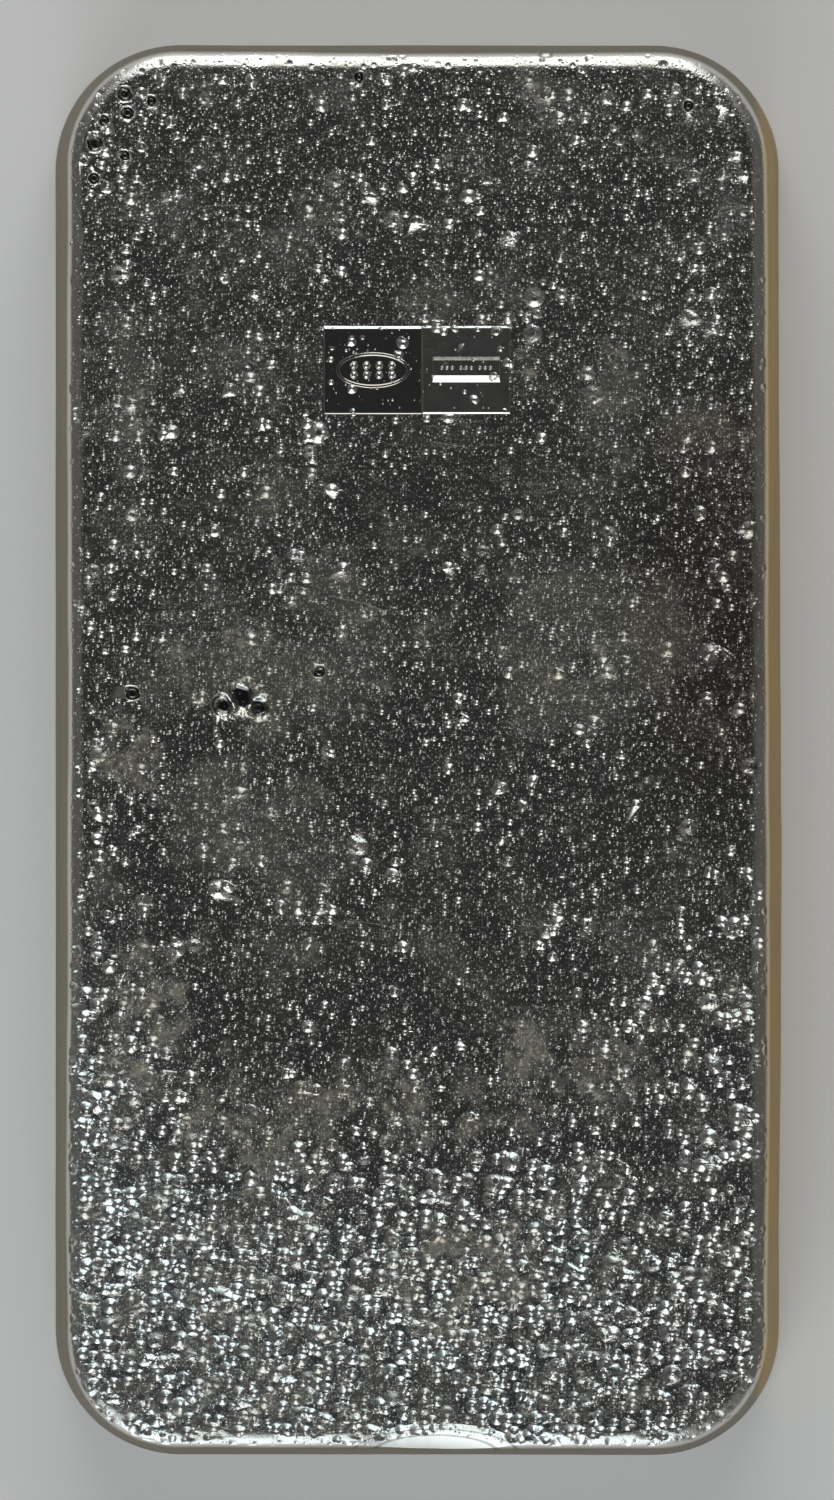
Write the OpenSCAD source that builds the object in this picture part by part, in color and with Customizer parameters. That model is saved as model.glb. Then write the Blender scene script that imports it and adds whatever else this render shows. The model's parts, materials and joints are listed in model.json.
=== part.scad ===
// A cast silver bar, one piece, lying on its foot with the stamped face up.
// Millimetres. The origin is on the floor under the middle of the foot,
// +Z is up through the stamped face and +Y runs towards the stamped end.

/* [Bar] */
// Overall length, along Y
bar_length = 109; // [90:1:140]
// Overall width, along X
bar_width = 56; // [46:1:75]
// Height, from the foot to the stamped face
bar_height = 16.4; // [12:0.1:22]
// Plan radius of the four corners, at the foot
corner_radius = 9.8; // [7:0.1:13]
// Slope of the walls away from upright, which lets the bar out of its mould
draft = 5; // [1:0.5:6]

/* [Edges] */
// Rounding between the walls and the stamped face
face_edge = 1.3; // [0.8:0.1:2.2]
// Rounding between the walls and the foot
foot_edge = 0.8; // [0.3:0.1:1.2]

/* [Stamp] */
// Distance from the stamped end of the bar to the middle of the two punch marks
stamp_from_end = 25.6; // [22:0.1:40]
// Width of the left punch's square shoulder mark, along X
left_mark_width = 7.5; // [6.5:0.1:9]
// Width of the right punch's square shoulder mark, along X
right_mark_width = 6.7; // [6.2:0.1:9]
// Height of both shoulder marks, along Y
mark_height = 6.7; // [5:0.1:9]
// Depth to which the punches' shoulders sank
mark_depth = 0.12; // [0.05:0.01:0.25]
// Length of the oval sunk by the left punch
oval_length = 5.8; // [4:0.1:6]
// Height of the oval
oval_height = 2.9; // [2:0.1:4]
// Radius of the oval's two ends
oval_end = 0.9; // [0.5:0.05:0.95]
// Length of the slot sunk by the right punch
slot_length = 5.2; // [4:0.1:5.8]
// Height of the slot
slot_height = 2.2; // [1.4:0.1:3]
// Depth of the oval and the slot below the stamped face
punch_depth = 0.4; // [0.3:0.05:0.8]

/* [Worn flat] */
// Length of the flat worn on the face's edge at the plain end
flat_length = 12.4; // [6:0.1:20]
// Depth of the flat below the rounded edge, at its middle
flat_depth = 0.45; // [0.1:0.05:0.6]
// Slope of the flat, in degrees from level
flat_slope = 28; // [15:1:45]
// Distance of the flat's middle from the bar's centre line, along X
flat_offset = 1.4; // [-6:0.1:6]

/* [Hidden] */
$fn = 96;
past = 1; // how far a cutting solid stands clear of the metal
proud = 0.001; // how far a rounding stands proud of the wall that it runs into

// The foot's rounding takes a little off a sloping wall. The sharp outline is
// that much larger, so that the rounded bar has exactly its overall sizes.
foot_trim = foot_edge * (tan(draft) + 1 / cos(draft) - 1);
sharp_radius = corner_radius + foot_trim;
corner_x = bar_width / 2 - corner_radius;
corner_y = bar_length / 2 - corner_radius;

stamp_y = bar_length / 2 - stamp_from_end;
marks_width = left_mark_width + right_mark_width;
left_mark_x = -marks_width / 2 + left_mark_width / 2;
right_mark_x = marks_width / 2 - right_mark_width / 2;

// A rolling cut of this radius leaves a flat of the stated length and depth
flat_roll = (pow(flat_length / 2, 2) + pow(flat_depth, 2)) / (2 * flat_depth);

// Distance of the wall's sharp outline from the corner's axis at a height
function wall_at(z) = sharp_radius - z * tan(draft);

// Distance of a rounding's centre from the corner's axis. Its circle touches
// the wall, and the level face that lies its radius above or below it.
function rounding_x(z, radius) = wall_at(z) - radius / cos(draft);

// Where that circle runs into the wall
function touch(z, radius) =
    let (reach = radius - proud)
    [rounding_x(z, radius) + reach * cos(draft), z + reach * sin(draft)];

// Section of the wall, outwards from the corner's axis
module wall_section() {
    foot_z = foot_edge;
    face_z = bar_height - face_edge;
    polygon([
        [0, 0],
        [rounding_x(foot_z, foot_edge), 0],
        touch(foot_z, foot_edge),
        touch(face_z, face_edge),
        [rounding_x(face_z, face_edge), bar_height],
        [0, bar_height]
    ]);
    translate([rounding_x(foot_z, foot_edge), foot_z]) circle(foot_edge);
    translate([rounding_x(face_z, face_edge), face_z]) circle(face_edge);
}

// Straight stretch of wall, facing +X, centred on the X axis
module wall(length) {
    translate([0, length / 2, 0])
        rotate([90, 0, 0])
            linear_extrude(length) wall_section();
}

// The casting before it is stamped
module casting() {
    translate([-corner_x, -corner_y, 0])
        cube([2 * corner_x, 2 * corner_y, bar_height]);
    for (turn = [0, 180]) rotate([0, 0, turn]) {
        translate([corner_x, 0, 0]) wall(2 * corner_y);
        translate([0, corner_y, 0]) rotate([0, 0, 90]) wall(2 * corner_x);
        translate([corner_x, corner_y, 0])
            rotate_extrude(angle = 90) wall_section();
        translate([-corner_x, corner_y, 0])
            rotate([0, 0, 90]) rotate_extrude(angle = 90) wall_section();
    }
}

// A cut of any outline, down from the stamped face
module sink(depth) {
    translate([0, 0, bar_height - depth])
        linear_extrude(depth + past) children();
}

// Oval of four arcs that meet in line: two small ends and two flatter sides
module oval_outline() {
    end_x = oval_length / 2 - oval_end;
    half = oval_height / 2;
    side = (pow(end_x, 2) + pow(half, 2) - pow(oval_end, 2)) / (2 * (half - oval_end));
    side_y = side - half;
    join_x = end_x * side / (side - oval_end);
    for (way = [-1, 1]) translate([way * end_x, 0]) circle(oval_end);
    intersection() {
        translate([0, side_y]) circle(side);
        translate([0, -side_y]) circle(side);
        square([2 * join_x, oval_height], center = true);
    }
}

// The two punch marks side by side: shoulder squares, the oval and the slot
module stamp() {
    translate([left_mark_x, stamp_y, 0]) {
        sink(mark_depth) square([left_mark_width, mark_height], center = true);
        sink(punch_depth) oval_outline();
    }
    translate([right_mark_x, stamp_y, 0]) {
        sink(mark_depth) square([right_mark_width, mark_height], center = true);
        sink(punch_depth) square([slot_length, slot_height], center = true);
    }
}

// The worn flat, cut by a roll whose axis follows the flat's slope
module worn_flat() {
    edge_y = -corner_y - rounding_x(bar_height - face_edge, face_edge);
    edge_z = bar_height - face_edge;
    translate([flat_offset, edge_y, edge_z])
        rotate([flat_slope, 0, 0])
            translate([0, 0, face_edge - flat_depth + flat_roll])
                rotate([90, 0, 0])
                    cylinder(h = 4 * face_edge, r = flat_roll, center = true);
}

module ingot() {
    color("silver") difference() {
        casting();
        stamp();
        worn_flat();
    }
}

ingot();
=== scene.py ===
"""A cast silver bar: a block with leaning walls, round corners and soft edges, lying with its
pitted face up. The face carries two plain punch marks, and one of its edges is worn flat.

Everything is in metres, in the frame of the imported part: the foot lies on the floor, +Z runs up
through the stamped face and +Y towards the stamped end. Patterns are worked out in millimetres.
"""

import json
import math

import bpy
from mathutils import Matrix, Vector

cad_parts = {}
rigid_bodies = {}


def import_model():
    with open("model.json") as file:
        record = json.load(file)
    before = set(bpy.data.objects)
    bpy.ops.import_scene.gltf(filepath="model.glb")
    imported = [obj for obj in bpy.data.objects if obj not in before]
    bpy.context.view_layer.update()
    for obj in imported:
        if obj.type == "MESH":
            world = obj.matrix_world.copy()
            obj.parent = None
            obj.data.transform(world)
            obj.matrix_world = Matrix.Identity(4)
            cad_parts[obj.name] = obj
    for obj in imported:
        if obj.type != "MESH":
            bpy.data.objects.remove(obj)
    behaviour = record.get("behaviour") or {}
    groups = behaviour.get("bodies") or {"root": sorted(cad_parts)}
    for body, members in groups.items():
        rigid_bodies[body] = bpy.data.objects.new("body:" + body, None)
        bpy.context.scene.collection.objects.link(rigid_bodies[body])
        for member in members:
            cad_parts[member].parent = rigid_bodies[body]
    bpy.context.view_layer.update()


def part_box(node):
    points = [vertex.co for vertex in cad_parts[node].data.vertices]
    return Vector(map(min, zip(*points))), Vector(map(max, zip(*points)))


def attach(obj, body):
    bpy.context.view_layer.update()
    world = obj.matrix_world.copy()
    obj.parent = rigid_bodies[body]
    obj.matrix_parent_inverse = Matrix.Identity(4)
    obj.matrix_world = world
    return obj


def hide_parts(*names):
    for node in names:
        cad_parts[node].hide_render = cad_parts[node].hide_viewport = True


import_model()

MM = 0.001

# ---------------------------------------------------------------------------------------
# Sizes of the bar

low_corner, high_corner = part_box("ingot")
WIDTH = high_corner[0] - low_corner[0]
LENGTH = high_corner[1] - low_corner[1]
HEIGHT = high_corner[2] - low_corner[2]

CORNER = 9.8 * MM       # plan radius of the corners, at the foot
DRAFT = math.radians(5)  # the walls' slope away from upright
FACE_EDGE = 1.3 * MM    # rounding between the walls and the stamped face
FOOT_EDGE = 0.8 * MM    # rounding between the walls and the foot
LEAN = HEIGHT * math.tan(DRAFT)

STAMP_Y = LENGTH / 2 - 25.6 * MM  # the middle of both punch marks
STAMP_SLOPE = math.radians(35)    # the punches' walls, from level
LEFT_MARK = 7.5 * MM
RIGHT_MARK = 6.7 * MM
MARK_HEIGHT = 6.7 * MM
LEFT_DEPTH = 0.14 * MM
RIGHT_DEPTH = 0.10 * MM
LEFT_MARK_X = -RIGHT_MARK / 2
RIGHT_MARK_X = LEFT_MARK / 2
PUNCH_DEPTH = 0.4 * MM
OVAL = (5.8 * MM, 2.9 * MM)
OVAL_STEP = (5.5 * MM, 2.6 * MM)   # a narrow step runs round inside the oval
OVAL_STEP_DEPTH = 0.24 * MM
OVAL_FLOOR = (5.1 * MM, 2.2 * MM)
SLOT = (5.2 * MM, 2.2 * MM)
SLOT_WALLS = (0.34 * MM, 0.7 * MM)  # how wide the slot's far and near walls are, seen from above
SLOT_END_WALL = 0.12 * MM

FLAT_LENGTH = 12.4 * MM
FLAT_DEPTH = 0.45 * MM
FLAT_SLOPE = math.radians(28)
FLAT_X = 1.4 * MM
FLAT_INSET = 0.9 * MM   # from the bar's end to the middle of the flat, as seen from above
FLAT_REACH = 1.9 * MM   # from there to the flat's outline, across the edge
NICK_X = 9.8 * MM
NICK_REACH = (0.75 * MM, 0.5 * MM, 0.5 * MM)

PIECE_TRIANGLES = 190_000  # what the bar keeps of its fine mesh, before it is punched


# ---------------------------------------------------------------------------------------
# Working by hand in edit mode

def pick(piece, kind, test):
    """Selects the faces or edges of a piece whose middle passes the test, in edit mode."""
    bpy.ops.object.mode_set(mode="EDIT")
    bpy.ops.mesh.select_mode(type=kind)
    bpy.ops.mesh.select_all(action="DESELECT")
    bpy.ops.object.mode_set(mode="OBJECT")
    mesh = piece.data
    for item in mesh.polygons if kind == "FACE" else mesh.edges:
        ends = [mesh.vertices[i].co for i in item.vertices]
        item.select = test(sum(ends, Vector()) / len(ends))
    bpy.ops.object.mode_set(mode="EDIT")


def in_hand():
    """The primitive that was just added, with its place and size moved into its mesh."""
    bpy.ops.object.transform_apply(location=True, rotation=True, scale=True)
    return bpy.context.object


def finish_modifier(piece, kind, **settings):
    """Adds a modifier with these settings and applies it."""
    bpy.ops.object.select_all(action="DESELECT")
    piece.select_set(True)
    bpy.context.view_layer.objects.active = piece
    modifier = piece.modifiers.new(kind.title(), kind)
    for name, value in settings.items():
        setattr(modifier, name, value)
    bpy.ops.object.modifier_apply(modifier=modifier.name)


def combine(piece, tool, operation):
    """Adds the tool to the piece, or takes it away, and uses the tool up."""
    finish_modifier(piece, "BOOLEAN", object=tool, operation=operation, solver="EXACT",
                    material_mode="TRANSFER")
    bpy.data.objects.remove(tool)


# ---------------------------------------------------------------------------------------
# Node trees, written as sums

class Field:
    """A value that varies from place to place, worked out by nodes. Plain numbers mix in."""

    def __init__(self, tree, socket):
        self.tree = tree
        self.socket = socket

    def __add__(self, other):
        return calc("ADD", self, other)

    def __sub__(self, other):
        return calc("SUBTRACT", self, other)

    def __rsub__(self, other):
        return calc("SUBTRACT", other, self)

    def __mul__(self, other):
        return calc("MULTIPLY", self, other)

    def __truediv__(self, other):
        return calc("DIVIDE", self, other)

    def __pow__(self, power):
        """A whole power, as a product, because that is far quicker than a power node."""
        product = self
        for _ in range(1, power):
            product = product * self
        return product

    __radd__ = __add__
    __rmul__ = __mul__


def plug(tree, value, socket):
    """Sets a socket to a value, or links it to a field."""
    if isinstance(value, Field):
        tree.links.new(value.socket, socket)
    elif value is not None:
        socket.default_value = value


def made(tree, kind, inputs=(), **settings):
    """A new node with its settings made and its inputs plugged in, by name or by number."""
    node = tree.nodes.new(kind)
    for name, value in settings.items():
        setattr(node, name, value)
    for key, value in dict(inputs).items():
        plug(tree, value, node.inputs[key])
    return node


def out(node, key=0):
    return Field(node.id_data, node.outputs[key])


def calc(operation, *values):
    tree = next(value.tree for value in values if isinstance(value, Field))
    return out(made(tree, "ShaderNodeMath", enumerate(values), operation=operation))


def larger(a, b):
    return calc("MAXIMUM", a, b)


def smaller(a, b):
    return calc("MINIMUM", a, b)


def size_of(a):
    return calc("ABSOLUTE", a)


def rise(value, start, end):
    """Goes smoothly from 0 where the value is at start to 1 where it is at end."""
    node = made(value.tree, "ShaderNodeMapRange",
                {"Value": value, "From Min": start, "From Max": end},
                interpolation_type="SMOOTHSTEP")
    return out(node)


def between(value, start, end, soft):
    """1 where the value lies from start to end, and 0 outside."""
    return rise(value, start - soft, start + soft) * rise(value, end + soft, end - soft)


def parts_of(place):
    node = made(place.tree, "ShaderNodeSeparateXYZ", {0: place})
    return out(node, "X"), out(node, "Y"), out(node, "Z")


def at(tree, x, y, z=0.0):
    return out(made(tree, "ShaderNodeCombineXYZ", {"X": x, "Y": y, "Z": z}))


def moved(place, by):
    return out(made(place.tree, "ShaderNodeVectorMath", {0: place, 1: by}, operation="ADD"))


def stretched(place, by):
    return out(made(place.tree, "ShaderNodeVectorMath", {0: place, 1: by},
                    operation="MULTIPLY"))


def cloud(place, lump, detail=2.0, rough=0.5):
    """Soft noise from 0 to 1, in lumps about this many millimetres across."""
    node = made(place.tree, "ShaderNodeTexNoise",
                {"Vector": place, "Scale": 1 / lump, "Detail": detail, "Roughness": rough},
                noise_dimensions="3D")
    return out(node, 0)


def scatter(place, spacing):
    """Points strewn this far apart: the distance to the nearest, its place and three lots."""
    node = made(place.tree, "ShaderNodeTexVoronoi",
                {"Vector": place, "Scale": 1 / spacing, "Randomness": 1.0},
                voronoi_dimensions="2D", feature="F1")
    colour = out(node, "Color")
    lots = made(place.tree, "ShaderNodeSeparateXYZ", {0: colour})
    return (out(node, "Distance") * spacing, out(node, "Position"),
            [out(lots, i) for i in range(3)])


def blended(tree, share, a, b):
    """A colour that goes from a to b."""
    node = made(tree, "ShaderNodeMix", data_type="RGBA")
    for value, key in ((share, 0), (a, 6), (b, 7)):
        if isinstance(value, tuple):
            value = (*value, 1.0)
        plug(tree, value, node.inputs[key])
    return out(node, 2)


# ---------------------------------------------------------------------------------------
# Where things are on the face. Places are in millimetres from the middle of the bar.

# Patches on the face: x, y and how far they reach each way
CALM = ((1.0, 25.0, 12.0, 14.0),)
RUGGED = ((11.0, -37.0, 7.0, 9.0), (-21.0, -36.0, 6.0, 11.0))
ISLANDS = ((-20.0, -20.0, 3.5, 7.0), (-12.0, -28.0, 7.0, 6.0), (2.0, -27.0, 12.0, 3.5),
           (12.0, -24.0, 8.0, 4.0), (5.0, -40.0, 6.5, 5.0), (-22.0, 0.0, 3.0, 4.0))
VEILS = ((-10.5, 8.0, 9.0, 7.0), (13.0, 8.0, 8.0, 7.0), (-12.0, -6.0, 8.0, 6.0),
         (17.0, 25.0, 6.0, 5.0))


def nearest(place, patches):
    """Grows from 0 in the middle of the nearest oval patch to 1 at its outline."""
    x, y, _ = parts_of(place)
    least = None
    for patch_x, patch_y, reach_x, reach_y in patches:
        away = ((x - patch_x) / reach_x) ** 2 + ((y - patch_y) / reach_y) ** 2
        least = smaller(least, away) if least else away
    return least


def spots(place, patches):
    """Soft oval patches: 1 in the middle of each and 0 outside. A patch is x, y and two reaches."""
    return rise(nearest(place, patches), 1.6, 0.0)


def from_edge(place):
    """How far a place lies inside the bar's outline, as seen from above."""
    x, y, _ = parts_of(place)
    beyond_x = size_of(x) - (WIDTH / 2 - CORNER) / MM
    beyond_y = size_of(y) - (LENGTH / 2 - CORNER) / MM
    round_part = calc("SQRT", larger(beyond_x, 0.0) ** 2 + larger(beyond_y, 0.0) ** 2)
    flat_part = smaller(larger(beyond_x, beyond_y), 0.0)
    return CORNER / MM - round_part - flat_part


def round_flat(place):
    """Grows from 0 at the middle of the worn flat's edge to 1 round its outline."""
    x, y, _ = parts_of(place)
    along = (x - FLAT_X / MM) / (FLAT_LENGTH / MM / 2)
    across = (y + LENGTH / MM / 2 - FLAT_INSET / MM) / (FLAT_REACH / MM)
    return along ** 2 + across ** 2


def on_face(place):
    """1 on the pitted part of the stamped face, and 0 on its smooth edges and below."""
    _, _, z = parts_of(place)
    ragged = cloud(place, 2.5, detail=1.0) * 0.9
    inside = rise(from_edge(place) + ragged, 2.1, 2.9) * rise(round_flat(place) + ragged, 1.3, 1.6)
    return inside * rise(z, HEIGHT / MM * 0.6, HEIGHT / MM * 0.7)


def in_stamp(place):
    """1 on the two punch marks."""
    x, y, _ = parts_of(place)
    beyond_x = size_of(x) - (LEFT_MARK + RIGHT_MARK) / 2 / MM
    beyond_y = size_of(y - STAMP_Y / MM) - MARK_HEIGHT / 2 / MM
    return rise(larger(beyond_x, beyond_y), 0.15, -0.15)


def coarse(place):
    """How coarsely the face is pitted: most at the plain end, down the sides and in corners."""
    x, y, _ = parts_of(place)
    plain_end = rise(y, -24.0, -41.0) * rise(x, 45.0, 0.0)
    left_side = rise(x, -16.0, -25.0) * rise(y, 2.0, -32.0) * 0.9
    right_side = rise(x, 13.0, 22.0) * rise(y, -4.0, -32.0) * 0.35
    most = larger(plain_end, larger(left_side, right_side))
    most = larger(most, spots(place, RUGGED) * 0.75)
    return smaller(larger(most + (cloud(place, 7.0, detail=1.0) - 0.5) * 0.9, 0.0), 1.0)


def clumps(place):
    """1 where coarse pits crowd together and 0 on the grey skin left between them."""
    return rise(cloud(place, 1.7, detail=1.0, rough=0.6), 0.42, 0.56)


def round_crowding(ruggedness, clumped):
    """The share of spots with a round pit: most in the clumps, and a few all over the face."""
    return ruggedness * (clumped * 0.69 + 0.44) + 0.015


def crowded(place, ruggedness, stamp):
    """The share of spots with a small pit: fewer among coarse pits and round the stamp, and
    fewest on the stamp."""
    calm = spots(place, CALM)
    return 0.85 - calm * 0.3 - stamp * 0.4 - ruggedness * 0.15


def level(place):
    """1 on the dull level islands that the pits leave towards the plain end."""
    field = cloud(place, 3.2, detail=4.0, rough=0.65)
    return rise(field + spots(place, ISLANDS) * 0.20, 0.58, 0.74)


def veiled(place):
    """Where a soft grey veil lies over the face, from 0 to 1."""
    field = cloud(moved(place, (9.0, 3.0, 5.0)), 5.0, detail=3.0, rough=0.65)
    return rise(field + spots(place, VEILS) * 0.20, 0.42, 0.78)


# ---------------------------------------------------------------------------------------
# Pits. Depths are in millimetres, and count down from the face.

POINTED, BOWL = 1, 2  # how flat the bottom of a pit is


class PitKind:
    """Pits of one kind: how far apart they are strewn, how wide and deep they are, and a shift
    that keeps kinds from falling on the same spots. Radii and spacing are in millimetres, and
    depths are for each millimetre of radius."""

    def __init__(self, spacing, radii, depths, bottom=POINTED, shift=(0.0, 0.0)):
        self.spacing = spacing
        self.smallest, self.largest = radii
        self.shallow, self.steep = depths
        self.bottom = bottom
        self.shift = (*shift, 0.0)


# Pits that are shaped in the mesh. The round ones get part of their depth from the material.
WIDE_PITS = PitKind(1.5, (0.50, 0.90), (0.15, 0.35), BOWL)
DEEP_PITS = PitKind(1.1, (0.26, 0.50), (0.6, 0.9), BOWL, shift=(57.0, 83.0))
ROUND_PITS = PitKind(0.90, (0.38, 0.66), (0.34, 0.64), BOWL, shift=(71.0, 23.0))
MESH_SHARE, BUMP_SHARE = 0.5, 0.55
HOLE_DEPTH = 0.45
# Slower relief, from its lowest to its highest
WAVE_HEIGHT = 0.10      # waves over the whole face
CRUMPLE_HEIGHT = 0.14   # the crumpled skin where the face is coarse
UNEVENNESS = 0.5        # how far the walls stray
WALL_RIPPLE = 0.10
RIGHT_BOW = 0.25        # how far the right wall bows out at its middle
# Finer pits, which only the material has
GLINTING_PITS = PitKind(0.80, (0.14, 0.36), (0.16, 0.40))
SMALL_PITS = PitKind(0.30, (0.07, 0.15), (0.02, 0.36), shift=(12.3, 45.1))


def pits(place, kind, share):
    """Round pits of a kind, strewn by chance; the share is how many of the spots have one. Most
    are shallow and a few are steep. Most have one wall steeper than the other, towards +Y or -Y."""
    place = moved(place, kind.shift)
    distance, spot, lots = scatter(place, kind.spacing)
    radius = lots[0] ** 2 * (kind.largest - kind.smallest) + kind.smallest
    there = calc("LESS_THAN", lots[1], share)
    depth = lots[2] ** 2 * (kind.steep - kind.shallow) + kind.shallow
    cup = larger(1.0 - (distance / radius) ** kind.bottom, 0.0)
    cup = cup * calc("SQRT", cup)
    _, y, _ = parts_of(place)
    _, spot_y, _ = parts_of(spot)
    lopsided = (rise(lots[1] / larger(share, 0.01), 0.25, 0.6) - 0.5) * 2.2
    return cup * radius * depth * there * ((y - spot_y) / radius * lopsided + 1.0)


# The biggest holes: x, y and radius of each, three of them run together left of the middle
HOLES = ((-14.7, 3.4, 0.9), (-13.3, 4.0, 1.2), (-12.0, 3.2, 1.0), (-22.2, 49.9, 0.6),
         (-22.0, 48.5, 0.55), (-20.2, 49.4, 0.45), (-24.6, 46.2, 0.7), (-23.8, 47.9, 0.5),
         (-22.2, 45.2, 0.45), (-24.6, 43.5, 0.45), (-4.4, 51.2, 0.45), (-21.6, 4.3, 0.6),
         (20.6, 49.0, 0.45), (-7.5, 5.9, 0.5))


def hollow(place):
    """1 on the floors of the biggest holes and 0 outside them. Their outlines are ragged."""
    ragged = cloud(place, 0.7, detail=1.0) * 2.0 - 0.15
    ovals = [(x, y, radius, radius) for x, y, radius in HOLES]
    return rise(nearest(place, ovals) * ragged, 1.0, 0.09)


def cavities(place):
    """The share of spots with a deep pit: some in the far corners, down the left edge and
    towards the plain end, and none elsewhere."""
    x, y, _ = parts_of(place)
    corners = rise(size_of(x), 15.0, 22.0) * rise(y, 38.0, 46.0) * 0.2
    left_edge = rise(x, -19.0, -22.0) * 0.1
    plain_end = rise(y, -20.0, -30.0) * 0.1
    return larger(larger(corners, left_edge), plain_end)


def cast_relief(place):
    """What the mould left on the face: pits wide enough to be shaped, and slow waves."""
    ruggedness = coarse(place)
    wide = pits(place, WIDE_PITS, ruggedness * 0.6 + 0.02)
    rounded = pits(place, ROUND_PITS, round_crowding(ruggedness, clumps(place))) * MESH_SHARE
    deep = pits(place, DEEP_PITS, cavities(place))
    spared = (1.0 - level(place) * 0.85) * (1.0 - in_stamp(place))
    waves = (cloud(place, 9.0, detail=1.0) - 0.5) * WAVE_HEIGHT
    crumpled = (cloud(place, 1.8, detail=1.0) - 0.5) * ruggedness * CRUMPLE_HEIGHT
    sunk = larger(larger(larger(wide, rounded) * spared, deep), hollow(place) * HOLE_DEPTH)
    return on_face(place) * (waves + crumpled - sunk)


# ---------------------------------------------------------------------------------------
# The bar

def cast_block():
    """The casting, still smooth: a round-cornered outline drawn up with leaning walls."""
    trim = FOOT_EDGE * (math.tan(DRAFT) + 1 / math.cos(DRAFT) - 1)
    bpy.ops.object.select_all(action="DESELECT")
    bpy.ops.mesh.primitive_plane_add(size=1)
    bpy.context.object.scale = (WIDTH + 2 * trim, LENGTH + 2 * trim, 1)
    bar = in_hand()
    bar.name = "cast_bar"
    bpy.ops.object.mode_set(mode="EDIT")
    bpy.ops.mesh.select_mode(type="VERT")
    bpy.ops.mesh.select_all(action="SELECT")
    bpy.ops.mesh.bevel(offset=CORNER + trim, segments=24, affect="VERTICES")
    bpy.ops.mesh.select_mode(type="FACE")
    bpy.ops.mesh.select_all(action="SELECT")
    bpy.ops.mesh.inset(thickness=LEAN, depth=HEIGHT)
    pick(bar, "EDGE", lambda middle: middle.z < 0.01 * HEIGHT)
    bpy.ops.mesh.edge_face_add()
    bpy.ops.mesh.select_all(action="SELECT")
    bpy.ops.mesh.normals_make_consistent(inside=False)
    pick(bar, "EDGE", lambda middle: middle.z > 0.99 * HEIGHT)
    bpy.ops.mesh.bevel(offset=FACE_EDGE / math.tan((math.pi / 2 + DRAFT) / 2), segments=3,
                       affect="EDGES")
    pick(bar, "EDGE", lambda middle: middle.z < 0.01 * HEIGHT)
    bpy.ops.mesh.bevel(offset=FOOT_EDGE / math.tan((math.pi / 2 - DRAFT) / 2), segments=2,
                       affect="EDGES")
    bpy.ops.object.mode_set(mode="OBJECT")
    return bar


def cut_lines(span, cells, across):
    """Cuts what shows into this many even cells across an axis, in edit mode."""
    for i in range(1, cells):
        bpy.ops.mesh.select_all(action="SELECT")
        place = across * (span * (i / cells - 0.5))
        bpy.ops.mesh.bisect(plane_co=place, plane_no=across)


def even_cells(bar):
    """Cuts the bar into even cells, small ones on the face, so that relief has room."""
    x_axis, y_axis, z_axis = Vector((1, 0, 0)), Vector((0, 1, 0)), Vector((0, 0, 1))
    bpy.ops.object.mode_set(mode="EDIT")
    cut_lines(WIDTH, 16, x_axis)
    cut_lines(LENGTH, 32, y_axis)
    for share in (0.3, 0.6):
        bpy.ops.mesh.select_all(action="SELECT")
        bpy.ops.mesh.bisect(plane_co=z_axis * HEIGHT * share, plane_no=z_axis)
    pick(bar, "FACE", lambda middle: middle.z > HEIGHT - 0.01 * MM)
    bpy.ops.mesh.hide(unselected=True)
    cut_lines(WIDTH, 64, x_axis)
    cut_lines(LENGTH, 128, y_axis)
    bpy.ops.mesh.reveal()
    bpy.ops.mesh.select_all(action="SELECT")
    bpy.ops.mesh.remove_doubles(threshold=0.005 * MM)
    bpy.ops.object.mode_set(mode="OBJECT")
    levels = 3
    finish_modifier(bar, "SUBSURF", subdivision_type="CATMULL_CLARK", levels=levels,
                    render_levels=levels)


def surface_tree(name):
    """A modifier's tree for one piece, with its way in and its way out."""
    tree = bpy.data.node_groups.new(name, "GeometryNodeTree")
    tree.is_modifier = True
    tree.interface.new_socket("Geometry", in_out="INPUT", socket_type="NodeSocketGeometry")
    tree.interface.new_socket("Geometry", in_out="OUTPUT", socket_type="NodeSocketGeometry")
    return tree, out(made(tree, "NodeGroupInput")), made(tree, "NodeGroupOutput")


def raise_relief(bar):
    """Sinks the pits into the face and gives the whole casting its slow unevenness."""
    tree, shape, end = surface_tree("cast relief")
    position = out(made(tree, "GeometryNodeInputPosition"))
    normal = out(made(tree, "GeometryNodeInputNormal"))
    place = stretched(position, (1 / MM,) * 3)
    x, y, z = parts_of(place)
    sink = cast_relief(place) * MM
    nx, ny, _ = parts_of(normal)
    uneven = (cloud(place, 22.0, detail=2.0) - 0.5) * UNEVENNESS * MM
    bow = rise(x, 20.0, 27.0) * (1.0 - (y / 50.0) ** 2) * RIGHT_BOW * MM
    above_foot = rise(z, 0.3, 4.0)
    rippled = cloud(stretched(place, (1.0, 1.0, 2.2)), 5.0, detail=2.0) - 0.5
    ripples = rippled * WALL_RIPPLE * MM
    sideways = (uneven + bow + ripples) * above_foot
    push = at(tree, nx * sideways, ny * sideways, sink)
    shifted = made(tree, "GeometryNodeSetPosition", {"Geometry": shape, "Offset": push})
    plug(tree, out(shifted), end.inputs[0])
    finish_modifier(bar, "NODES", node_group=tree)


def thin_out(bar):
    """Drops the points that the level stretches don't need."""
    faces = sum(len(face.vertices) - 2 for face in bar.data.polygons)
    finish_modifier(bar, "DECIMATE", ratio=PIECE_TRIANGLES / faces, use_collapse_triangulate=True)


# ---------------------------------------------------------------------------------------
# The punches and the roll, which cut what they leave

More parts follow.
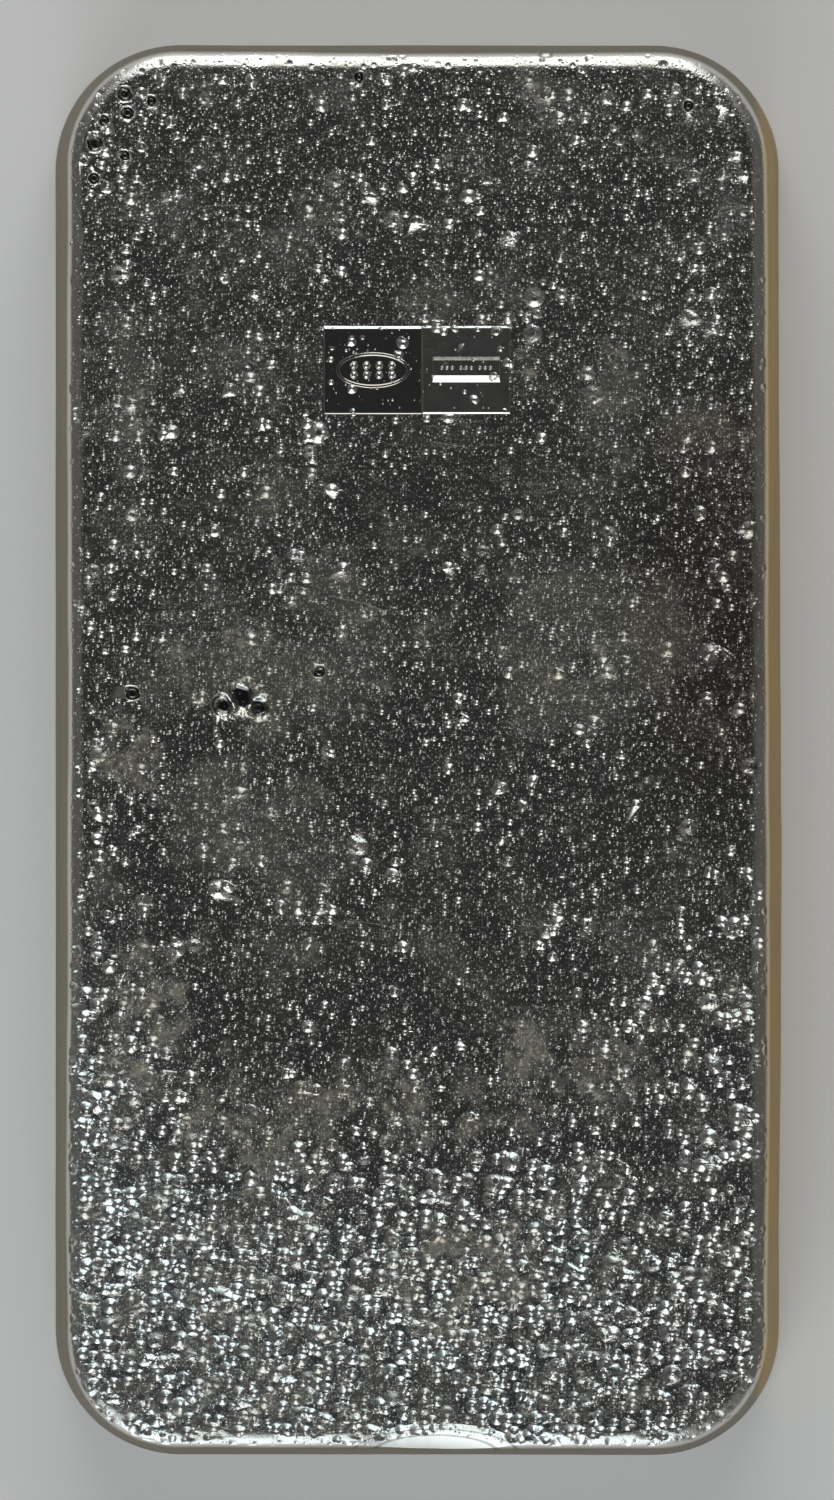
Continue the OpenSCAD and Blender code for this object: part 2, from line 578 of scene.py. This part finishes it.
REACH = 0.6 * MM  # how far a cutting tool stands above the face
OVAL_BEAD = (0.34 * MM, 0.22 * MM)  # a bead's radius, and how far it stands above the floor
SLOT_BEAD = (0.17 * MM, 0.11 * MM)
OVAL_COLUMN, OVAL_ROW = 0.96, 0.36  # millimetres between columns, and from the middle to a row
SLOT_GROUP, SLOT_STEP = 1.45, 0.4   # millimetres between groups, and between beads of a group


def block_tool(name, centre, size, depth, walls):
    """A block whose four walls lean out as they rise. Walls: +Y, -Y and both X, in plan."""
    far, near, side = walls
    bpy.ops.object.select_all(action="DESELECT")
    bpy.ops.mesh.primitive_cube_add(size=1, location=(0, 0, 0))
    tool = in_hand()
    tool.name = name
    for point in tool.data.vertices:
        up = point.co.z > 0
        lean = REACH / depth if up else -1.0
        y_wall = far if point.co.y > 0 else near
        point.co = (centre[0] + math.copysign(size[0] / 2 + side * lean, point.co.x),
                    centre[1] + math.copysign(size[1] / 2 + y_wall * lean, point.co.y),
                    HEIGHT + REACH if up else HEIGHT - depth)
    return tool


def oval_tool(size, floor, depth):
    """A round tool drawn out to an oval, narrower at its floor."""
    bpy.ops.object.select_all(action="DESELECT")
    bpy.ops.mesh.primitive_cylinder_add(vertices=96, radius=0.5, depth=1)
    tool = in_hand()
    for point in tool.data.vertices:
        up = point.co.z > 0
        reach = 1 + REACH / depth if up else 0
        point.co = (LEFT_MARK_X + point.co.x * (floor[0] + (size[0] - floor[0]) * reach),
                    STAMP_Y + point.co.y * (floor[1] + (size[1] - floor[1]) * reach),
                    HEIGHT + REACH if up else HEIGHT - depth)
    return tool


def bead(x, y, radius, stands):
    """A small ball whose top stands this far above the punched floor."""
    bpy.ops.object.select_all(action="DESELECT")
    place = (x, y, HEIGHT - PUNCH_DEPTH - radius + stands)
    bpy.ops.mesh.primitive_uv_sphere_add(segments=24, ring_count=12, radius=radius, location=place)
    return in_hand()


def stamp_tool():
    """Both punches as one tool. Hollows in its ends leave plain beads standing."""
    wall = LEFT_DEPTH / math.tan(STAMP_SLOPE)
    thin = 0.4 * wall
    tool = block_tool("punch", (LEFT_MARK_X, STAMP_Y), (LEFT_MARK, MARK_HEIGHT), LEFT_DEPTH,
                      (wall, thin, thin))
    worn_x, worn_width = LEFT_MARK_X + LEFT_MARK * 0.26, LEFT_MARK * 0.48
    shoulder = block_tool("worn shoulder", (worn_x, STAMP_Y - MARK_HEIGHT / 4),
                          (worn_width, MARK_HEIGHT / 2), LEFT_DEPTH, (wall, wall, thin))
    combine(tool, shoulder, "UNION")
    wall = RIGHT_DEPTH / math.tan(STAMP_SLOPE)
    thin = 0.5 * wall
    right = block_tool("right punch", (RIGHT_MARK_X, STAMP_Y), (RIGHT_MARK, MARK_HEIGHT),
                       RIGHT_DEPTH, (wall, wall, thin))
    combine(tool, right, "UNION")
    combine(tool, oval_tool(OVAL, OVAL_STEP, OVAL_STEP_DEPTH), "UNION")
    combine(tool, oval_tool(OVAL_STEP, OVAL_FLOOR, PUNCH_DEPTH), "UNION")
    slot = block_tool("slot punch", (RIGHT_MARK_X, STAMP_Y), SLOT, PUNCH_DEPTH,
                      (*SLOT_WALLS, SLOT_END_WALL))
    combine(tool, slot, "UNION")
    for column in (-1.5, -0.5, 0.5, 1.5):
        for row in (-1, 1):
            x, y = LEFT_MARK_X + column * OVAL_COLUMN * MM, STAMP_Y + row * OVAL_ROW * MM
            combine(tool, bead(x, y, *OVAL_BEAD), "DIFFERENCE")
    slot_y = STAMP_Y + (SLOT_WALLS[1] - SLOT_WALLS[0]) / 2
    for group in (-1, 0, 1):
        for step in (-1, 0, 1):
            x = RIGHT_MARK_X + (group * SLOT_GROUP + step * SLOT_STEP) * MM
            combine(tool, bead(x, slot_y, *SLOT_BEAD), "DIFFERENCE")
    return tool


def roll_tool(slope, depth, length, x):
    """A wide roll that cuts a flat of this length and depth into the edge at the plain end."""
    radius = ((length / 2) ** 2 + depth ** 2) / (2 * depth)
    edge_y = -(LENGTH / 2 - LEAN - FACE_EDGE * math.tan((math.pi / 2 - DRAFT) / 2))
    centre = Vector((x, edge_y, HEIGHT - FACE_EDGE))
    out_of_edge = Vector((0, -math.sin(slope), math.cos(slope)))
    place = centre + out_of_edge * (FACE_EDGE - depth + radius)
    bpy.ops.object.select_all(action="DESELECT")
    bpy.ops.mesh.primitive_cylinder_add(vertices=720, radius=radius, depth=8 * FACE_EDGE,
                                        location=place, rotation=(math.pi / 2 + slope, 0, 0))
    return in_hand()


def nick_tool():
    """A flattened ball that takes a nick out of the rounded edge at the stamped end."""
    bpy.ops.object.select_all(action="DESELECT")
    edge_y = LENGTH / 2 - LEAN
    bpy.ops.mesh.primitive_uv_sphere_add(segments=32, ring_count=16, radius=1,
                                         location=(NICK_X, edge_y + 0.05 * MM, HEIGHT - 0.35 * MM))
    bpy.context.object.scale = NICK_REACH
    return in_hand()


def mark_cut_edges(bar):
    """Keeps crisp the edges that the tools left, on a bar that is smooth elsewhere."""
    bpy.ops.object.select_all(action="DESELECT")
    bar.select_set(True)
    bpy.context.view_layer.objects.active = bar
    bpy.ops.object.shade_smooth()
    bpy.ops.object.mode_set(mode="EDIT")
    bpy.ops.mesh.select_mode(type="FACE")
    bpy.ops.mesh.select_all(action="DESELECT")
    bar.active_material_index = 1
    bpy.ops.object.material_slot_select()
    bpy.ops.mesh.select_more()
    bpy.ops.mesh.hide(unselected=True)
    bpy.ops.mesh.select_all(action="DESELECT")
    bpy.ops.mesh.select_mode(type="EDGE")
    bpy.ops.mesh.edges_select_sharp(sharpness=math.radians(18))
    bpy.ops.mesh.mark_sharp()
    bpy.ops.mesh.reveal()
    bpy.ops.object.mode_set(mode="OBJECT")


def lay_out_map(bar):
    """Lays the surface out for baking: the stamped face across a whole side of the square,
    the four walls in two rows beside it, and the foot small."""
    tree, shape, end = surface_tree("bake map")
    position = out(made(tree, "GeometryNodeInputPosition"))
    x, y, z = parts_of(stretched(position, (1 / MM,) * 3))
    normal = out(made(tree, "GeometryNodeInputNormal"))
    whole_face = out(made(tree, "GeometryNodeFieldOnDomain", {0: normal}, domain="FACE",
                          data_type="FLOAT_VECTOR"))
    nx, ny, nz = parts_of(whole_face)
    step = 0.99 / (LENGTH / MM + 0.6)   # of the square for each millimetre of the face
    row = 0.1                            # of the square for each row of walls
    half_x, half_y = WIDTH / MM / 2 + 0.3, LENGTH / MM / 2 + 0.3
    edge = 0.005
    face_top = edge + 2 * half_x * step
    small = 0.56 * step
    facing_up = calc("GREATER_THAN", nz, 0.5)
    facing_down = calc("LESS_THAN", nz, -0.5)
    long_wall = calc("GREATER_THAN", size_of(nx), size_of(ny))
    minus_side = calc("LESS_THAN", long_wall * nx + (1.0 - long_wall) * ny, 0.0)
    wall_u = edge + (long_wall * (y + half_y)
                     + (1.0 - long_wall) * (x + (half_x + 2 * half_y + 3))) * small
    wall_v = face_top + 0.01 + minus_side * (row + 0.01) + z * small
    foot_u = edge + (y + half_y) * 0.5 * step
    foot_v = face_top + 0.03 + 2 * row + (x + half_x) * 0.42 * step
    on_wall = (1.0 - facing_up) * (1.0 - facing_down)
    u = facing_up * (edge + (y + half_y) * step) + facing_down * foot_u + on_wall * wall_u
    v = facing_up * (edge + (x + half_x) * step) + facing_down * foot_v + on_wall * wall_v
    stored = made(tree, "GeometryNodeStoreNamedAttribute",
                  {"Geometry": shape, "Name": "OFBake"}, data_type="FLOAT2", domain="CORNER")
    plug(tree, at(tree, u, v), stored.inputs["Value"])
    plug(tree, out(stored), end.inputs[0])
    finish_modifier(bar, "NODES", node_group=tree)


def make_bar():
    """The whole bar: cast, pitted, thinned out, punched and worn, with its finish on."""
    bar = cast_block()
    even_cells(bar)
    raise_relief(bar)
    thin_out(bar)
    bar.data.materials.append(bpy.data.materials.new("cast skin"))
    cut_skin = bpy.data.materials.new("cut skin")
    stamp = stamp_tool()
    worn = roll_tool(FLAT_SLOPE, FLAT_DEPTH, FLAT_LENGTH, FLAT_X)
    for tool in (stamp, worn, nick_tool()):
        tool.data.materials.clear()
        tool.data.materials.append(cut_skin)
        combine(bar, tool, "DIFFERENCE")
    mark_cut_edges(bar)
    lay_out_map(bar)
    bar.data.materials.clear()
    bar.data.materials.append(silver())
    for face in bar.data.polygons:
        face.material_index = 0
    return bar


# ---------------------------------------------------------------------------------------
# The silver's finish

BRIGHT_SILVER = (0.85, 0.83, 0.785)
# Silver tinted with the cool colour of the soft boxes and their teal shade: painted light where the
# face is coarse
SILVER_TINTED_BY_COOL_LIGHT = (0.74, 0.79, 0.79)
HAZE = (0.64, 0.59, 0.48)
BROWN_TARNISH = (0.36, 0.28, 0.22)
OLIVE_TARNISH = (0.50, 0.48, 0.36)
AMBER_TARNISH = (0.72, 0.52, 0.22)
# Grey tarnish on the walls, made darker still as painted shade so that the walls read dim against
# the floor
WALL_TARNISH_AND_SHADE = (0.30, 0.28, 0.25)
# Black painted as shade on the floors of the biggest holes, and also used for the fine lines round
# the worn flat
BLACK_SHADE_AND_LINES = (0.22, 0.22, 0.22)
GRAZING_TINT = (0.55, 0.50, 0.42, 1.0)  # what tarnish leaves of the mirror at a low angle
GRAIN_SIZE, GRAIN_HEIGHT = 0.14, 0.012  # millimetres
CLEAN_ROUGHNESS = 0.09


def scratches(place, spacing, longest, width, share):
    """Single fine scratches, most of them across the bar and a little bowed."""
    _, spot, lots = scatter(place, spacing)
    x, y, _ = parts_of(place)
    spot_x, spot_y, _ = parts_of(spot)
    across, along = x - spot_x, y - spot_y
    turn = (lots[0] - 0.6) * 0.9
    cosine, sine = calc("COSINE", turn), calc("SINE", turn)
    run = across * cosine + along * sine
    off = along * cosine - across * sine + run ** 2 * (lots[2] - 0.5) * 0.08
    line = rise(size_of(off), width, 0.0)
    ends = rise(size_of(run), lots[2] * longest + 0.3, 0.0)
    return line * ends * calc("LESS_THAN", lots[1], share) * (lots[1] ** 2 / share ** 2)


def specks(place, spacing, radius):
    """Soft frosted specks, a few of them strong and most of them faint."""
    distance, _, lots = scatter(place, spacing)
    return rise(distance, radius, radius * 0.3) * lots[0] ** 2


def face_bump(place, stamp, ruggedness, clumped):
    """The face's finest relief, in millimetres: pits too small to shape, and grain."""
    _, _, z = parts_of(place)
    share = crowded(place, ruggedness, stamp)
    glinting = pits(place, GLINTING_PITS, share * 0.8)
    small = pits(place, SMALL_PITS, share)
    rounded = pits(place, ROUND_PITS, round_crowding(ruggedness, clumped)) * BUMP_SHARE
    grain = cloud(place, GRAIN_SIZE, detail=1.0) * GRAIN_HEIGHT
    on_top = rise(z, HEIGHT / MM - 0.6, HEIGHT / MM - 0.3)
    return (grain - larger(larger(glinting, small), rounded)) * on_top


def worn_arcs(place):
    """Two fine dark lines round the far side of the worn flat, one inside the other."""
    _, y, _ = parts_of(place)
    ring = round_flat(place)
    middle = (FLAT_INSET - LENGTH / 2) / MM
    far_side = rise(y, middle, middle + 0.4)
    lines = larger(between(ring, 0.56, 0.64, 0.05), between(ring, 1.0, 1.08, 0.05))
    return lines * far_side


def silver():
    """Cast silver: mirror-like between its pits, with dull islands, brown and olive tarnish, grey
    tarnish on the walls darkened further as painted shade, painted black shade on the floors of its
    biggest holes, a cool tint of painted light where the face is coarse, and amber along the right
    wall."""
    material = bpy.data.materials.new("cast silver")
    material.use_nodes = True
    tree = material.node_tree
    tree.nodes.clear()
    coordinates = made(tree, "ShaderNodeTexCoord")
    place = stretched(out(coordinates, "Object"), (1 / MM,) * 3)
    x, y, z = parts_of(place)
    face, stamp = on_face(place), in_stamp(place)
    holes = hollow(place)
    pitted = face * (1.0 - stamp) * (1.0 - holes)
    mottle = cloud(place, 1.0, detail=4.0, rough=0.7)
    islands = level(place) * pitted * (rise(mottle, 0.35, 0.60) * 0.65 + 0.35)
    ruggedness = coarse(place)
    rugged = ruggedness * pitted
    veil = veiled(place) * (pitted - rugged)
    brown = between(x, 18.0, 40.0, 6.0) * between(y, -4.0, 24.0, 12.0) * face
    walls = (1.0 - face) * rise(z, HEIGHT / MM - 0.3, HEIGHT / MM - 1.6)
    amber = rise(x, 25.6, 26.6) * rise(z, HEIGHT / MM + 0.2, HEIGHT / MM - 0.9)
    amber = amber * (rise(cloud(place, 12.0, detail=2.0), 0.3, 0.65) * 0.35 + 0.5)

    clumped = clumps(place)
    between_clumps = rugged * (1.0 - clumped)
    # Painted light: the coarse face takes a cool tint from the lamps' light and its teal shade
    colour = blended(tree, rugged * 0.8, BRIGHT_SILVER, SILVER_TINTED_BY_COOL_LIGHT)
    colour = blended(tree, between_clumps * 0.5, colour, HAZE)
    colour = blended(tree, veil * 0.7, colour, OLIVE_TARNISH)
    colour = blended(tree, islands * 0.9, colour, HAZE)
    colour = blended(tree, brown * 0.5, colour, BROWN_TARNISH)
    # The walls, and the soft edge below the face, take grey tarnish darkened further as painted
    # shade
    colour = blended(tree, walls * 0.9, colour, WALL_TARNISH_AND_SHADE)
    colour = blended(tree, amber, colour, AMBER_TARNISH)
    # Painted shade: black on the floors of the biggest holes; the same black draws the fine dark
    # lines round the worn flat
    dark = larger(rise(holes, 0.6, 0.9), worn_arcs(place) * 0.8)
    colour = blended(tree, dark, colour, BLACK_SHADE_AND_LINES)

    right_field = stamp * rise(x, 0.3, 0.5)
    frost = specks(place, 0.20, 0.10)
    streaks = rise(cloud(stretched(place, (0.2, 2.5, 1.0)), 1.0, detail=2.0), 0.52, 0.75)
    scored = scratches(place, 6.0, 3.6, 0.045, 0.95) * face
    roughness = (CLEAN_ROUGHNESS + mottle * 0.14 + scored * 0.35
                 + frost * (pitted * 0.30 + between_clumps * 0.15) + veil * 0.15
                 + streaks * pitted * 0.05 + islands * 0.17
                 + rugged * (rise(x, 8.0, -18.0) * 0.03 + 0.03) + between_clumps * 0.08
                 + (1.0 - face) * 0.12 + walls * 0.12
                 + right_field * 0.12 - stamp * 0.06)

    height = face_bump(place, stamp, ruggedness, clumped)
    bump = made(tree, "ShaderNodeBump", {"Height": height, "Strength": 1.0, "Distance": MM})
    shader = made(tree, "ShaderNodeBsdfPrincipled",
                  {"Base Color": colour, "Roughness": roughness, "Metallic": 1.0,
                   "Specular Tint": GRAZING_TINT, "Normal": out(bump)})
    made(tree, "ShaderNodeOutputMaterial", {"Surface": out(shader)})
    return material


# ---------------------------------------------------------------------------------------
# Floor, light and camera

FLOOR_GREY = (0.93, 0.925, 0.91)
FLOOR_GLOW = (1.0, 0.98, 0.94)  # a faint glow of its own keeps the floor pale
FLOOR_GLOW_STRENGTH = 0.12
FLOOR_SIZE = 8
AIM = Vector((0, 0, 0.12))  # what the soft boxes face
CAMERA_HEIGHT = 1.0
SEEN_LENGTH = 0.116  # how much of the floor the picture is tall
SENSOR = 36.0        # millimetres, along the picture's taller side


def floor():
    """A plain pale sheet that the bar lies on."""
    bpy.ops.object.select_all(action="DESELECT")
    bpy.ops.mesh.primitive_plane_add(size=FLOOR_SIZE)
    sheet = in_hand()
    sheet.name = "floor"
    material = bpy.data.materials.new("pale floor")
    material.use_nodes = True
    shader = material.node_tree.nodes["Principled BSDF"]
    shader.inputs["Base Color"].default_value = (*FLOOR_GREY, 1)
    shader.inputs["Roughness"].default_value = 0.85
    shader.inputs["Specular IOR Level"].default_value = 0.2
    shader.inputs["Emission Color"].default_value = (*FLOOR_GLOW, 1)
    shader.inputs["Emission Strength"].default_value = FLOOR_GLOW_STRENGTH
    sheet.data.materials.append(material)


def soft_box(name, place, size, watts, colour):
    """A soft studio light that faces the bar and stays out of the picture itself."""
    light = bpy.data.lights.new(name, "AREA")
    light.shape = "RECTANGLE"
    light.size, light.size_y = size
    light.energy = watts
    light.color = colour
    lamp = bpy.data.objects.new(name, light)
    lamp.location = place
    lamp.rotation_euler = (AIM - Vector(place)).to_track_quat("-Z", "Y").to_euler()
    lamp.visible_camera = False
    bpy.context.scene.collection.objects.link(lamp)


def dome(ends, sides, zenith):
    """Even light from all round, dimmer at the bar's sides, with a dark opening overhead."""
    world = bpy.data.worlds.new("studio")
    bpy.context.scene.world = world
    world.use_nodes = True
    tree = world.node_tree
    tree.nodes.clear()
    direction = out(made(tree, "ShaderNodeTexCoord"), "Generated")
    x, y, z = parts_of(direction)
    around = blended(tree, rise(size_of(y) - size_of(x), -0.5, 0.4), sides, ends)
    colour = blended(tree, rise(z, 0.86, 0.985), around, zenith)
    light = made(tree, "ShaderNodeBackground", {"Color": colour, "Strength": 1.0})
    made(tree, "ShaderNodeOutputWorld", {"Surface": out(light)})


def camera():
    """A camera that looks straight down on the bar."""
    lens = bpy.data.cameras.new("camera")
    lens.sensor_width = SENSOR
    lens.lens = SENSOR * CAMERA_HEIGHT / SEEN_LENGTH
    eye = bpy.data.objects.new("camera", lens)
    eye.location = (0, 0, CAMERA_HEIGHT)
    bpy.context.scene.collection.objects.link(eye)
    bpy.context.scene.camera = eye


floor()
soft_box("far soft box", place=(0, 0.60, 0.40), size=(0.55, 0.78), watts=1.9,
         colour=(0.97, 0.99, 1.0))
soft_box("near soft box", place=(-0.16, -0.60, 0.38), size=(0.55, 0.74), watts=1.8,
         colour=(0.84, 0.95, 1.0))
dome(ends=(0.20, 0.20, 0.20), sides=(0.085, 0.085, 0.082), zenith=(0.020, 0.020, 0.021))
camera()
bpy.context.scene.view_settings.view_transform = "Standard"

bar = make_bar()
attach(bar, "root")
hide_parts("ingot")
